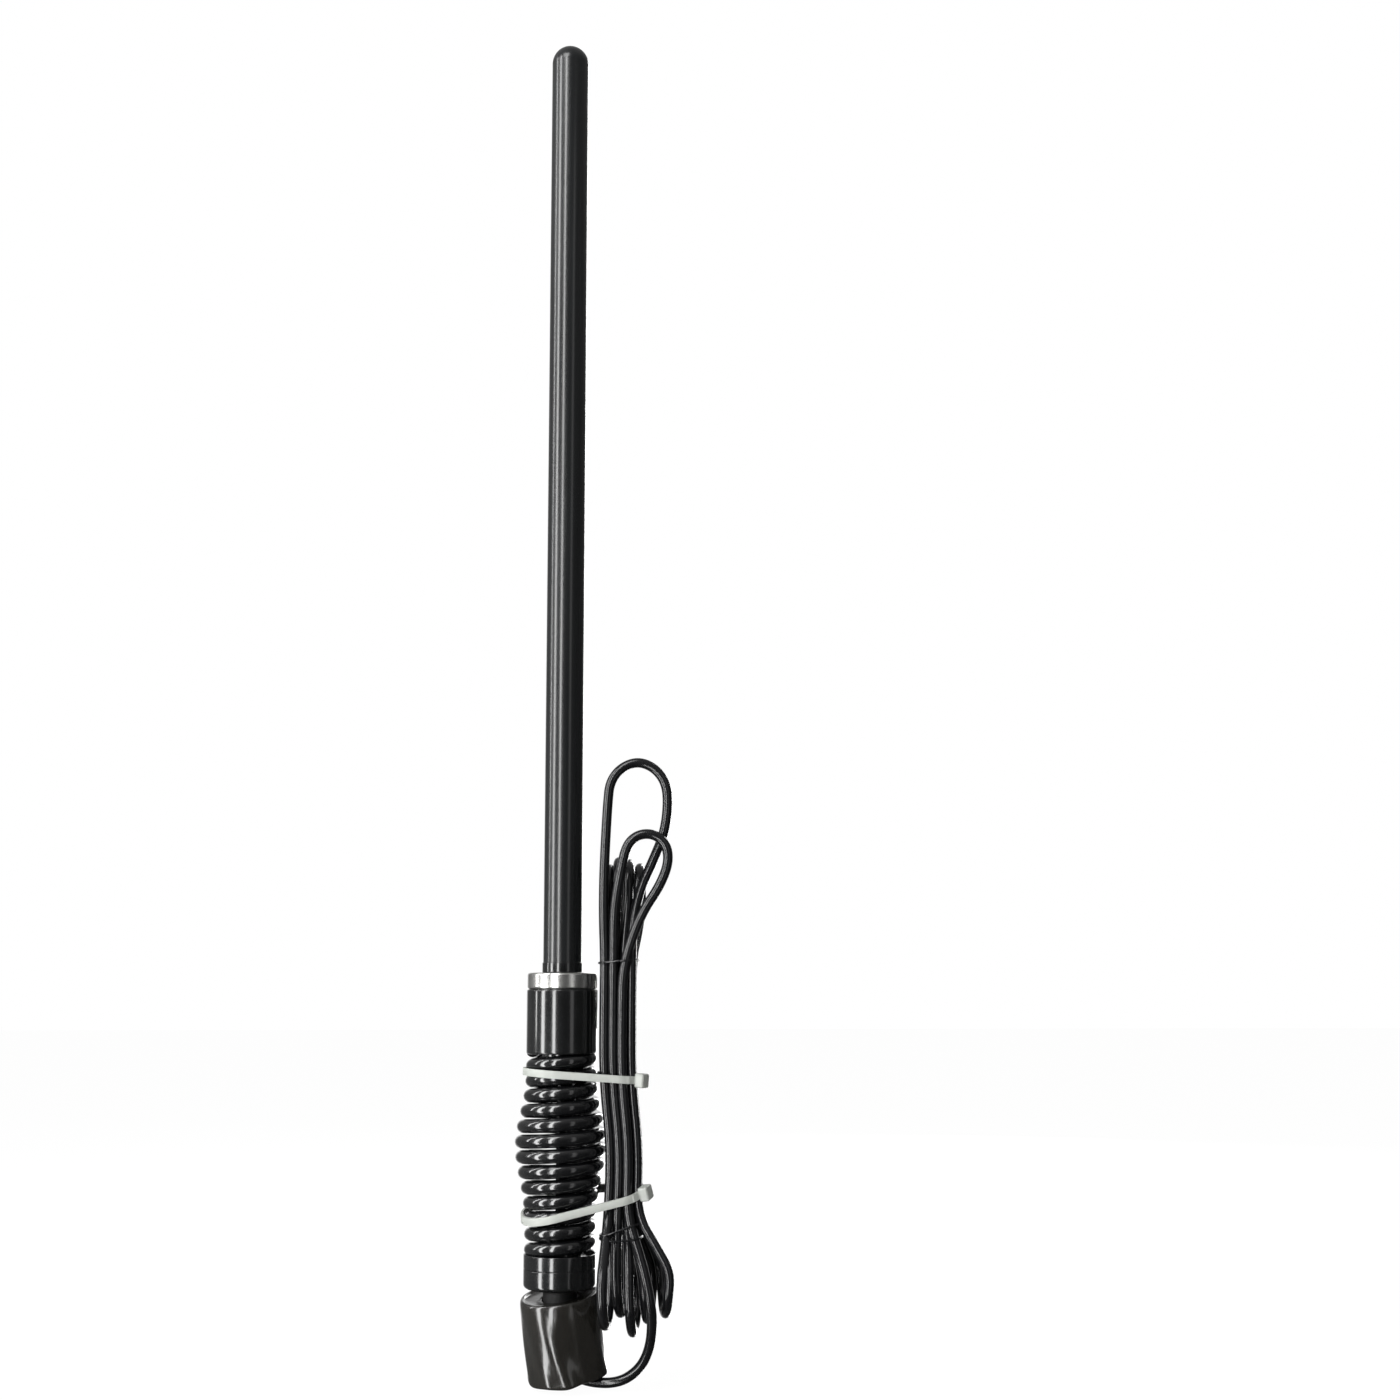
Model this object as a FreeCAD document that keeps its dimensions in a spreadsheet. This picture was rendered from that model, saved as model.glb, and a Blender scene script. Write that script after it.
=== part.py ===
import FreeCAD, Part
import math
import os

import Sketcher

V = FreeCAD.Vector
doc = FreeCAD.newDocument("uhf_cb_antenna")

# Driving dimensions in millimetres and degrees. Radii are named radius, z runs up from the seat
# under the base hub, and each piece takes the sizes of its neighbours from the same cells.
SIZES = [
    ("hub_radius", 17.5), ("hub_height", 9.3), ("hub_edge", 2.2),
    ("boss_radius", 9.0), ("boss_height", 4.2), ("fit_gap", 0.1),
    ("stud_radius", 8.0), ("stud_length", 25.0), ("groove_depth", 0.5), ("groove_width", 0.6),
    ("stud_chamfer", 0.8), ("lead_bore_radius", 2.9),
    ("gland_radius", 5.0), ("gland_depth", 6.0), ("gland_lip", 1.2), ("gland_lip_radius", 5.8),
    ("low_collar_radius", 17.5), ("low_collar_height", 6.7), ("collar_edge", 0.9),
    ("spring_length", 94.0), ("spring_end_radius", 17.4), ("spring_mid_radius", 22.4),
    ("spring_wire", 6.7), ("spring_pitch", 7.2), ("spigot_length", 13.0), ("spigot_gap", 0.3),
    ("up_collar_radius", 17.25), ("up_collar_height", 31.0),
    ("ring_radius", 17.0), ("ring_height", 8.0), ("ring_edge", 1.3),
    ("whip_stud_radius", 5.0), ("whip_stud_length", 21.0),
    ("ferrule_radius", 9.9), ("ferrule_band", 5.0), ("ferrule_plug_length", 30.0),
    ("tube_radius", 9.5), ("tube_wall", 2.0), ("tube_length", 468.0),
    ("cap_skirt", 1.0), ("cap_plug_length", 14.0),
    ("rod_radius", 1.6), ("rod_seat_depth", 10.0), ("low_rod_length", 118.0),
    ("former_radius", 4.6), ("former_length", 42.0), ("former_seat", 6.0),
    ("coil_wire", 1.2), ("coil_pitch", 4.4), ("coil_turns", 7.0),
    ("rod_end_gap", 18.0), ("spacer_thickness", 9.0),
    ("insulator_radius", 4.6), ("insulator_length", 15.0), ("pin_radius", 1.5), ("cable_radius", 2.4),
    ("boot_radius", 19.25), ("boot_foot_radius", 18.7), ("boot_height", 38.7), ("boot_wall", 1.9),
    ("boot_top_wall", 2.2), ("boot_shoulder", 3.2), ("boot_rim", 1.0), ("boot_fit", 0.55),
    ("boot_drop", 3.5), ("boot_tilt", 10.3), ("boot_heading", 51.0),
    ("washer_radius", 13.0), ("washer_thickness", 1.5), ("nut_width", 24.0), ("nut_thickness", 5.0),
    ("lock_washer_radius", 11.6), ("lock_washer_thickness", 1.2), ("lock_washer_slot", 2.0),
    ("thread_gap", 0.12), ("stack_gap", 0.2),
    ("tie_width", 3.6), ("tie_thickness", 1.2), ("tie_head_width", 6.2), ("tie_head_height", 6.8),
    ("tie_head_depth", 5.0), ("tie_slack", 0.3), ("wire_tie_radius", 0.6),
    ("sleeve_radius", 3.7), ("sleeve_length", 13.0), ("plug_radius", 4.9), ("plug_length", 16.0),
    ("plug_nose_radius", 3.9), ("plug_nose_length", 9.0), ("plug_wall", 0.9), ("contact_radius", 0.8),
]
dims = doc.addObject("Spreadsheet::Sheet", "dims")
for row, (alias, number) in enumerate(SIZES, 1):
    dims.set(f"A{row}", alias)
    dims.set(f"B{row}", str(number))
    dims.setAlias(f"B{row}", alias)
doc.recompute()


def size(alias):
    """The number in a named cell."""
    return float(dims.get(alias))


def bound(text):
    """An expression over the sheet, from words joined with + - * / and brackets."""
    words = "".join(c if c.isalnum() or c == "_" else f" {c} " for c in text).split(" ")
    names = {alias for alias, _ in SIZES}
    return "".join(f"dims.{w}" if w in names else w for w in words)


def value(text):
    """What such an expression comes to."""
    return float(dims.evalExpression(bound(text)))


def body_at(label, height):
    """An empty body whose own zero lies at a height on the antenna's axis."""
    body = doc.addObject("PartDesign::Body", label)
    body.Label = label
    body.setExpression("Placement.Base.z", bound(height))
    return body


def plane(body, role):
    return next(f for f in body.Origin.OriginFeatures if f.Role == role)


def outline(body, points, where="XZ_Plane", name="profile"):
    """A closed sketch of straight sides whose corners are bound to the sheet: (across, up) pairs."""
    sketch = body.newObject("Sketcher::SketchObject", name)
    sketch.AttachmentSupport = [(plane(body, where), "")]
    sketch.MapMode = "FlatFace"
    spots = [V(value(a), value(b), 0) for a, b in points]
    for i, p in enumerate(spots):
        sketch.addGeometry(Part.LineSegment(p, spots[(i + 1) % len(spots)]), False)
    for i in range(len(spots)):
        sketch.addConstraint(Sketcher.Constraint("Coincident", i, 2, (i + 1) % len(spots), 1))
    for i, (across, up) in enumerate(points):
        for kind, text, axis in (("DistanceX", across, -2), ("DistanceY", up, -1)):
            if text == "0":
                sketch.addConstraint(Sketcher.Constraint("PointOnObject", i, 1, axis))
                continue
            k = sketch.addConstraint(Sketcher.Constraint(kind, -1, 1, i, 1, value(text)))
            sketch.setExpression(f"Constraints[{k}]", bound(text))
    return sketch


def turned(label, height, points):
    """A piece turned about the antenna's axis, from the half section's (radius, height) corners."""
    body = body_at(label, height)
    sketch = outline(body, points)
    spin = body.newObject("PartDesign::Revolution", "turning")
    spin.Profile = sketch
    spin.ReferenceAxis = (sketch, ["V_Axis"])
    spin.Angle = 360
    body.Tip = spin
    doc.recompute()
    return body


def rims(shape, spots):
    """Names of the circular edges of the given (radius, height), in the body's own frame."""
    found = []
    for i, e in enumerate(shape.Edges, 1):
        c = e.Curve
        if hasattr(c, "Radius") and hasattr(c, "Center"):
            for radius, height in spots:
                if abs(c.Radius - value(radius)) < 1e-4 and abs(c.Center.z - value(height)) < 1e-4:
                    found.append(f"Edge{i}")
    return found


def softened(body, spots, radius, kind="Fillet"):
    """Rounds or bevels circular edges of a turned body."""
    base = body.Tip
    edge = body.newObject(f"PartDesign::{kind}", kind.lower())
    edge.Base = (base, rims(base.Shape, spots))
    edge.setExpression("Radius" if kind == "Fillet" else "Size", bound(radius))
    body.Tip = edge
    doc.recompute()
    return body


def primitive(kind, label, height=None, **sizes):
    """A Part primitive with its sizes, and its height on the axis, bound to the sheet."""
    made = doc.addObject(f"Part::{kind}", label)
    for field, text in sizes.items():
        made.setExpression(field, bound(text))
    if height is not None:
        made.setExpression("Placement.Base.z", bound(height))
    return made


def fused(label, pieces):
    made = doc.addObject("Part::MultiFuse", label)
    made.Shapes = pieces
    made.Label = label
    return made


def cut(label, base, tool):
    made = doc.addObject("Part::Cut", label)
    made.Base = base
    made.Tool = tool
    made.Label = label
    return made


# Heights along the axis, from the seat at zero.
LOW_COLLAR = "hub_height"
SPRING = "(hub_height + low_collar_height)"
UP_COLLAR = "(hub_height + low_collar_height + spring_length)"
RING = "(hub_height + low_collar_height + spring_length + up_collar_height)"
FERRULE = "(hub_height + low_collar_height + spring_length + up_collar_height + ring_height)"
TUBE = f"({FERRULE} + ferrule_band)"
CAP = f"({TUBE} + tube_length)"
WHIP_STUD = f"({FERRULE} - whip_stud_length)"
SPIGOT = "(spring_end_radius - spring_wire - spigot_gap)"
STACK = "(boot_drop + boot_top_wall + washer_radius * tan(boot_tilt) + stack_gap)"
NUT_END = f"({STACK} + washer_thickness + lock_washer_thickness + nut_thickness)"

# Base hub: the round flange under the spring with a threaded boss above it, and the hollow stud
# that goes through the bracket. A groove marks off the thread's free end below the nut, and the
# lead's gland sits in the counterbore at the stud's end.
hub = turned("base_hub", "0 - stud_length", [
    ("gland_radius + fit_gap", "0"),
    ("stud_radius", "0"),
    ("stud_radius", f"stud_length - {NUT_END} - stack_gap - groove_width"),
    ("stud_radius - groove_depth", f"stud_length - {NUT_END} - stack_gap - groove_width"),
    ("stud_radius - groove_depth", f"stud_length - {NUT_END} - stack_gap"),
    ("stud_radius", f"stud_length - {NUT_END} - stack_gap"),
    ("stud_radius", "stud_length"),
    ("hub_radius", "stud_length"),
    ("hub_radius", "stud_length + hub_height"),
    ("boss_radius", "stud_length + hub_height"),
    ("boss_radius", "stud_length + hub_height + boss_height"),
    ("lead_bore_radius", "stud_length + hub_height + boss_height"),
    ("lead_bore_radius", "gland_depth"),
    ("gland_radius + fit_gap", "gland_depth"),
])
softened(hub, [("hub_radius", "stud_length")], "hub_edge")
softened(hub, [("hub_radius", "stud_length + hub_height")], "collar_edge / 2")
softened(hub, [("stud_radius", "0")], "stud_chamfer", "Chamfer")

# Lower collar: takes the hub's boss from below and carries the spring's last coils on its spigot.
low_collar = turned("lower_collar", LOW_COLLAR, [
    ("boss_radius + fit_gap", "0"),
    ("low_collar_radius", "0"),
    ("low_collar_radius", "low_collar_height"),
    (SPIGOT, "low_collar_height"),
    (SPIGOT, "low_collar_height + spigot_length"),
    ("lead_bore_radius", "low_collar_height + spigot_length"),
    ("lead_bore_radius", "boss_height + fit_gap"),
    ("boss_radius + fit_gap", "boss_height + fit_gap"),
])
low_collar_rims = [("low_collar_radius", "0"), ("low_collar_radius", "low_collar_height")]
softened(low_collar, low_collar_rims, "collar_edge / 2")

# Upper collar: spigot into the spring, a socket for the feed's insulator and the whip's thread.
up_collar = turned("upper_collar", f"{UP_COLLAR} - spigot_length", [
    ("lead_bore_radius", "0"),
    (SPIGOT, "0"),
    (SPIGOT, "spigot_length"),
    ("up_collar_radius", "spigot_length"),
    ("up_collar_radius", "spigot_length + up_collar_height"),
    ("whip_stud_radius + fit_gap", "spigot_length + up_collar_height"),
    ("whip_stud_radius + fit_gap", "spigot_length + insulator_length"),
    ("insulator_radius + fit_gap", "spigot_length + insulator_length"),
    ("insulator_radius + fit_gap", "spigot_length"),
    ("lead_bore_radius", "spigot_length"),
])
softened(up_collar, [
    ("up_collar_radius", "spigot_length"),
    ("up_collar_radius", "spigot_length + up_collar_height"),
], "collar_edge")


def wound(points, wire):
    """A round wire along a smooth line through the points of a winding."""
    line = Part.BSplineCurve()
    line.interpolate(points)
    start, along = line.value(line.FirstParameter), line.tangent(line.FirstParameter)[0]
    ring = Part.Wire(Part.Circle(start, along, wire / 2).toShape())
    return Part.Wire(line.toShape()).makePipeShell([ring], True, True)


# Barrel spring: one close wound wire whose coils swell to the middle. Its centreline is a helix
# with a radius that follows a bell over the height, and both ends are ground flat on the collars.
wire, pitch, length = size("spring_wire"), size("spring_pitch"), size("spring_length")
low, high = -0.25 * wire, length + 0.25 * wire
steps = 20
count = int(round((high - low) / pitch * steps))
turn_points = []
for i in range(count + 1):
    z = low + (high - low) * i / count
    share = min(max(z / length, 0.0), 1.0)
    swell = math.sin(math.pi * share**1.125) ** 4
    r = size("spring_end_radius") - wire / 2
    r += (size("spring_mid_radius") - size("spring_end_radius")) * swell
    a = 2 * math.pi * (z - low) / pitch
    turn_points.append(V(r * math.cos(a), r * math.sin(a), z))
winding = wound(turn_points, wire)
reach = size("spring_mid_radius") + wire
ground = Part.makeBox(2 * reach, 2 * reach, length, V(-reach, -reach, 0))
spring = doc.addObject("Part::Feature", "barrel_spring")
spring.Label = "barrel_spring"
spring.Shape = winding.common(ground)
spring.Placement.Base.z = value(SPRING)

# Feed through the spring: the lead runs up the middle to a contact pin held in a bush.
jumper = primitive(
    "Cylinder", "feed_jumper", "gland_depth - stud_length",
    Radius="cable_radius", Height=f"{UP_COLLAR} + stud_length - gland_depth",
)
jumper.Label = "feed_jumper"
turned("feed_insulator", UP_COLLAR, [
    ("pin_radius", "0"),
    ("insulator_radius", "0"),
    ("insulator_radius", "insulator_length"),
    ("pin_radius", "insulator_length"),
])
pin = primitive("Cylinder", "feed_pin", UP_COLLAR, Radius="pin_radius", Height=f"{WHIP_STUD} - {UP_COLLAR}")
pin.Label = "feed_pin"

# Lock ring: the bright ring that jams the whip's thread on the collar.
lock_ring = turned("lock_ring", RING, [
    ("whip_stud_radius + fit_gap", "0"),
    ("ring_radius", "0"),
    ("ring_radius", "ring_height"),
    ("whip_stud_radius + fit_gap", "ring_height"),
])
softened(lock_ring, [("ring_radius", "0"), ("ring_radius", "ring_height")], "ring_edge")

# Whip ferrule: stud below, a band at the tube's mouth and a plug bonded into the tube.
PLUG = "(tube_radius - tube_wall - fit_gap)"
ferrule = turned("whip_ferrule", WHIP_STUD, [
    ("0", "0"),
    ("whip_stud_radius", "0"),
    ("whip_stud_radius", "whip_stud_length"),
    ("ferrule_radius", "whip_stud_length"),
    ("ferrule_radius", "whip_stud_length + ferrule_band"),
    (PLUG, "whip_stud_length + ferrule_band"),
    (PLUG, "whip_stud_length + ferrule_band + ferrule_plug_length"),
    ("rod_radius", "whip_stud_length + ferrule_band + ferrule_plug_length"),
    ("rod_radius", "whip_stud_length + ferrule_band + ferrule_plug_length - rod_seat_depth"),
    ("0", "whip_stud_length + ferrule_band + ferrule_plug_length - rod_seat_depth"),
])
softened(ferrule, [
    ("ferrule_radius", "whip_stud_length"),
    ("ferrule_radius", "whip_stud_length + ferrule_band"),
], "ferrule_radius - tube_radius + fit_gap")
softened(ferrule, [("whip_stud_radius", "0")], "stud_chamfer", "Chamfer")

# Radome: a plain tube with a round cap plugged into its top.
turned("radome_tube", TUBE, [
    ("tube_radius - tube_wall", "0"),
    ("tube_radius", "0"),
    ("tube_radius", "tube_length"),
    ("tube_radius - tube_wall", "tube_length"),
])
dome = primitive("Sphere", "dome", f"{CAP} + cap_skirt", Radius="tube_radius")
dome.Angle1 = 0
skirt = primitive("Cylinder", "skirt", CAP, Radius="tube_radius", Height="cap_skirt")
plug = primitive("Cylinder", "cap_plug", f"{CAP} - cap_plug_length", Radius=PLUG, Height="cap_plug_length")
fused("radome_tip_cap", [dome, skirt, plug])

# Inside the radome: two brass rods, a coil on its former between them and discs that centre them.
ROD = f"({TUBE} + ferrule_plug_length - rod_seat_depth)"
FORMER = f"({ROD} + low_rod_length - former_seat)"
UP_ROD = f"({FORMER} + former_length - former_seat)"
UP_LENGTH = f"({CAP} - cap_plug_length - rod_end_gap - {UP_ROD})"
for label, height, long in (
    ("lower_radiator", ROD, "low_rod_length"),
    ("upper_radiator", UP_ROD, UP_LENGTH),
):
    rod = primitive("Cylinder", label, height, Radius="rod_radius", Height=long)
    rod.Label = label
turned("coil_former", FORMER, [
    ("rod_radius", "0"),
    ("former_radius", "0"),
    ("former_radius", "former_length"),
    ("rod_radius", "former_length"),
    ("rod_radius", "former_length - former_seat"),
    ("0", "former_length - former_seat"),
    ("0", "former_seat"),
    ("rod_radius", "former_seat"),
])
COIL_RADIUS = "(former_radius + coil_wire / 2 + fit_gap)"
turns, step = value("coil_turns"), value("coil_pitch")
coil_points = []
for i in range(int(round(turns * steps)) + 1):
    a = 2 * math.pi * i / steps
    coil_points.append(V(math.cos(a), math.sin(a), 0) * value(COIL_RADIUS) + V(0, 0, step * i / steps))
coil = doc.addObject("Part::Feature", "phasing_coil")
coil.Label = "phasing_coil"
coil.Shape = wound(coil_points, size("coil_wire"))
coil.Placement.Base.z = value(f"{FORMER} + (former_length - coil_pitch * coil_turns) / 2")
discs = []
for share in (0.2, 0.5, 0.8):
    height = f"{UP_ROD} + {UP_LENGTH} * {share} - spacer_thickness / 2"
    disc = primitive("Cylinder", "disc", height, Radius=PLUG, Height="spacer_thickness")
    hole = primitive("Cylinder", "disc_hole", height, Radius="rod_radius", Height="spacer_thickness")
    discs.append(cut("disc_ring", disc, hole))
spacers = doc.addObject("Part::Compound", "element_spacers")
spacers.Label = "element_spacers"
spacers.Links = discs

# Boot: a soft skirt pushed up the stud by its snug hole, leaning a little on the washer below.
boot = body_at("base_boot", "0")
side = outline(boot, [
    ("stud_radius + boot_fit", "boot_height - boot_top_wall"),
    ("boot_radius - boot_wall", "boot_height - boot_top_wall"),
    ("boot_foot_radius - boot_wall", "0"),
    ("boot_foot_radius", "0"),
    ("boot_radius", "boot_height"),
    ("stud_radius + boot_fit", "boot_height"),
])
skirt_spin = boot.newObject("PartDesign::Revolution", "skirt_turning")
skirt_spin.Profile = side
skirt_spin.ReferenceAxis = (side, ["V_Axis"])
skirt_spin.Angle = 360
boot.Tip = skirt_spin
doc.recompute()
softened(boot, [("boot_radius", "boot_height")], "boot_shoulder")
softened(boot, [("boot_radius - boot_wall", "boot_height - boot_top_wall")], "boot_rim")
heading = math.radians(size("boot_heading"))
lean = FreeCAD.Rotation(V(math.sin(heading), -math.cos(heading), 0), size("boot_tilt"))
grip = V(0, 0, size("boot_height") - size("boot_top_wall") / 2)
boot.setExpression("Placement.Base.z", None)
hang = V(0, 0, -value("boot_drop + boot_top_wall / 2"))
boot.Placement = FreeCAD.Placement(hang - lean.multVec(grip), lean)

# Washers and nut on the stud, run up to the boot's lowest inner edge.
turned("mount_washer", f"0 - {STACK} - washer_thickness", [
    ("stud_radius + thread_gap", "0"),
    ("washer_radius", "0"),
    ("washer_radius", "washer_thickness"),
    ("stud_radius + thread_gap", "washer_thickness"),
])
LOCK = f"(0 - {STACK} - washer_thickness - lock_washer_thickness)"
lock_disc = primitive("Cylinder", "lock_disc", LOCK, Radius="lock_washer_radius",
                      Height="lock_washer_thickness")
lock_hole = primitive(
    "Cylinder", "lock_hole", LOCK, Radius="stud_radius + thread_gap", Height="lock_washer_thickness"
)
split = primitive(
    "Box", "lock_split", LOCK,
    Length="lock_washer_radius", Width="lock_washer_slot", Height="lock_washer_thickness",
)
split.setExpression("Placement.Base.y", bound("0 - lock_washer_slot / 2"))
cut("lock_washer", cut("lock_open", lock_disc, lock_hole), split)
NUT = f"({LOCK} - nut_thickness)"
hexagon = primitive("Prism", "nut_hexagon", NUT, Circumradius="nut_width / sqrt(3)", Height="nut_thickness")
hexagon.Polygon = 6
round_off = primitive(
    "Cone", "nut_bevel", NUT, Radius1="nut_width / 2", Radius2="nut_width / 2 + nut_thickness * 2",
    Height="nut_thickness",
)
bevelled = doc.addObject("Part::MultiCommon", "nut_blank")
bevelled.Shapes = [hexagon, round_off]
nut_hole = primitive("Cylinder", "nut_hole", NUT, Radius="stud_radius + thread_gap", Height="nut_thickness")
cut("mount_nut", bevelled, nut_hole)

# Gland: a soft bush in the stud's end that the lead leaves through.
gland = turned("coax_gland", "0 - stud_length - gland_lip", [
    ("cable_radius", "0"),
    ("gland_lip_radius", "0"),
    ("gland_lip_radius", "gland_lip"),
    ("gland_radius", "gland_lip"),
    ("gland_radius", "gland_lip + gland_depth"),
    ("cable_radius", "gland_lip + gland_depth"),
])
softened(gland, [("gland_lip_radius", "0")], "gland_lip / 2")


def cord_path(points):
    """Straight runs joined by tangent arcs, each as large as its two runs allow."""
    spots = [V(*p) for p in points]
    edges, here, length, radii = [], spots[0], 0.0, []
    for before, corner, after in zip(spots, spots[1:], spots[2:]):
        back, on = (before - corner), (after - corner)
        half = (math.pi - back.getAngle(on)) / 2
        cut_back = 0.45 * min(back.Length, on.Length)
        radii.append(cut_back / math.tan(half))
        first = corner + back.normalize() * cut_back
        last = corner + on.normalize() * cut_back
        inward = (back + on).normalize()
        middle = corner + inward * (radii[-1] / math.cos(half) - radii[-1])
        edges.append(Part.LineSegment(here, first).toShape())
        edges.append(Part.Arc(first, middle, last).toShape())
        here = last
    edges.append(Part.LineSegment(here, spots[-1]).toShape())
    return Part.Wire(edges), radii


def cord_tube(label, points):
    """A length of the lead along its route, with its radii and volume printed."""
    path, radii = cord_path(points)
    radius = size("cable_radius")
    start, on = V(*points[0]), V(*points[1])
    ring = Part.Wire(Part.Circle(start, on - start, radius).toShape())
    tube = doc.addObject("Part::Feature", label)
    tube.Label = label
    tube.Shape = path.makePipeShell([ring], True, False)
    tube.Placement = FreeCAD.Placement()
    expected = math.pi * radius**2 * path.Length
    print(label, "length", round(path.Length, 1), "radii", [round(r, 1) for r in radii],
          "volume share", round(tube.Shape.Volume / expected, 4))
    return tube


# Lead: down out of the gland, under the boot's rim and round to the front of the hank.
EXIT = -size("stud_length")
cord_tube("coax_lead", [
    (0, 0, EXIT + 6), (0, 0, EXIT - 5.4), (4.4, 0, EXIT - 13.2), (12.6, -0.3, EXIT - 18.1),
    (27.5, -1.5, EXIT - 18.8), (37.6, -5.5, EXIT - 12.4), (43.2, -11, EXIT - 2.4), (45, -17, EXIT + 11.5),
    (43.2, -20.5, EXIT + 25.5), (39.5, -20.5, EXIT + 38.5), (36.6, -18.2, EXIT + 51), (35.6, -16, EXIT + 61),
])

# Hank: one solid of the tied bundle, from its fanned lower loops to the folded crown, as
# (height, centre x, centre y, half width, half depth), and the one loop that hangs before the boot.
bundle = [
    (-20, 38.5, -3, 8, 4), (-9, 40, -3, 13.4, 12.5), (4, 38.6, -4, 13.4, 15), (18, 34.6, -7, 12, 12.4),
    (31, 30.8, -9, 10.8, 9.6), (62, 30.6, -9.2, 8.6, 9.4), (100, 28.5, -8.9, 10.0, 9.4),
    (140, 28.7, -8.9, 9.6, 9.4), (168, 29.2, -8.2, 9.8, 9.8), (184, 30.5, 2, 11.8, 15),
    (199, 30.5, 4, 10.4, 13), (207, 30.5, 4.5, 7, 5),
]
front_loop = [
    (30, 23.4, -12.4, 2.6, 3.4), (8, 21.6, -20.5, 2.4, 13), (-5, 21.6, -22, 2.4, 13.6),
    (-14, 21.6, -22, 2.4, 5),
]


def lofted(label, sections):
    rings = []
    for height, x, y, wide, deep in sections:
        stretch = FreeCAD.Matrix(wide, 0, 0, x, 0, deep, 0, y, 0, 0, 1, height)
        rings.append(Part.Wire(Part.Circle().toShape()).transformGeometry(stretch))
    made = doc.addObject("Part::Feature", label)
    made.Shape = Part.makeLoft(rings, True, False)
    return made


fused("coax_hank", [lofted("bundle", bundle), lofted("front_fold", front_loop)])

# Two loops of the lead that stand up out of the hank.
cord_tube("coax_loop_large", [
    (20.6, -14, 176), (20.7, -13.6, 196), (21.5, -13.2, 215), (22.4, -13, 232), (23.4, -13, 241.4),
    (28.4, -13, 248.2), (36.4, -13, 251.6), (44.4, -13, 249), (50.2, -13, 242.4), (52, -13, 233),
    (50.4, -13, 217), (44.4, -12.4, 202.5), (38, -11.8, 189), (34.2, -11.4, 176),
])
cord_tube("coax_loop_small", [
    (25.8, -16, 177), (27.4, -17.4, 189), (29.6, -18.4, 200), (31.2, -18.6, 207.6),
    (34, -18.6, 212.6), (38.8, -18.6, 215.4), (44.4, -18.6, 215.4), (49.2, -18.6, 212.6),
    (52, -18.6, 207.4), (51.8, -18.6, 199.6), (47.4, -18.2, 189.4), (41, -17, 180), (37, -15.6, 171),
])

# The lead's far end: it comes down behind the hank with a plain screw connector on it.
END = (23.6, 8.4)
TAIL = 180.0
cord_tube("coax_tail", [(22.8, 7.4, TAIL + 14), (23.5, 8.2, TAIL), (*END, TAIL - 20)])
sleeve_z = TAIL - 20
PLUG_PIECES = {
    "connector_sleeve": ("0 - sleeve_length", [
        ("0", "0"), ("sleeve_radius", "0"), ("sleeve_radius", "sleeve_length"), ("0", "sleeve_length"),
    ]),
    "connector_body": ("0 - sleeve_length - plug_length", [
        ("plug_nose_radius - plug_wall", "0 - plug_nose_length"),
        ("plug_nose_radius", "0 - plug_nose_length"), ("plug_nose_radius", "0"), ("plug_radius", "0"),
        ("plug_radius", "plug_length"), ("0", "plug_length"), ("0", "0"),
        ("plug_nose_radius - plug_wall", "0"),
    ]),
}
for label, (height, points) in PLUG_PIECES.items():
    lowest = "plug_nose_length" if label == "connector_body" else "0"
    raised = [(a, "0" if b == f"0 - {lowest}" else f"{b} + {lowest}") for a, b in points]
    piece = turned(label, f"{sleeve_z} + {height} - {lowest}", raised)
    piece.Placement.Base.x, piece.Placement.Base.y = END
NOSE = f"({sleeve_z} - sleeve_length - plug_length - plug_nose_length)"
bush = primitive(
    "Cylinder", "bush_blank", f"{NOSE} + plug_nose_length / 2",
    Radius="plug_nose_radius - plug_wall - fit_gap", Height="plug_nose_length / 2",
)
bush_hole = primitive(
    "Cylinder", "bush_hole", f"{NOSE} + plug_nose_length / 2",
    Radius="contact_radius", Height="plug_nose_length / 2",
)
insulator = cut("connector_insulator", bush, bush_hole)
contact = primitive(
    "Cylinder", "connector_pin", f"{NOSE} + contact_radius",
    Radius="contact_radius", Height="plug_nose_length - contact_radius",
)
contact.Label = "connector_pin"
for piece in (bush, bush_hole, contact):
    piece.Placement.Base.x, piece.Placement.Base.y = END


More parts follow.
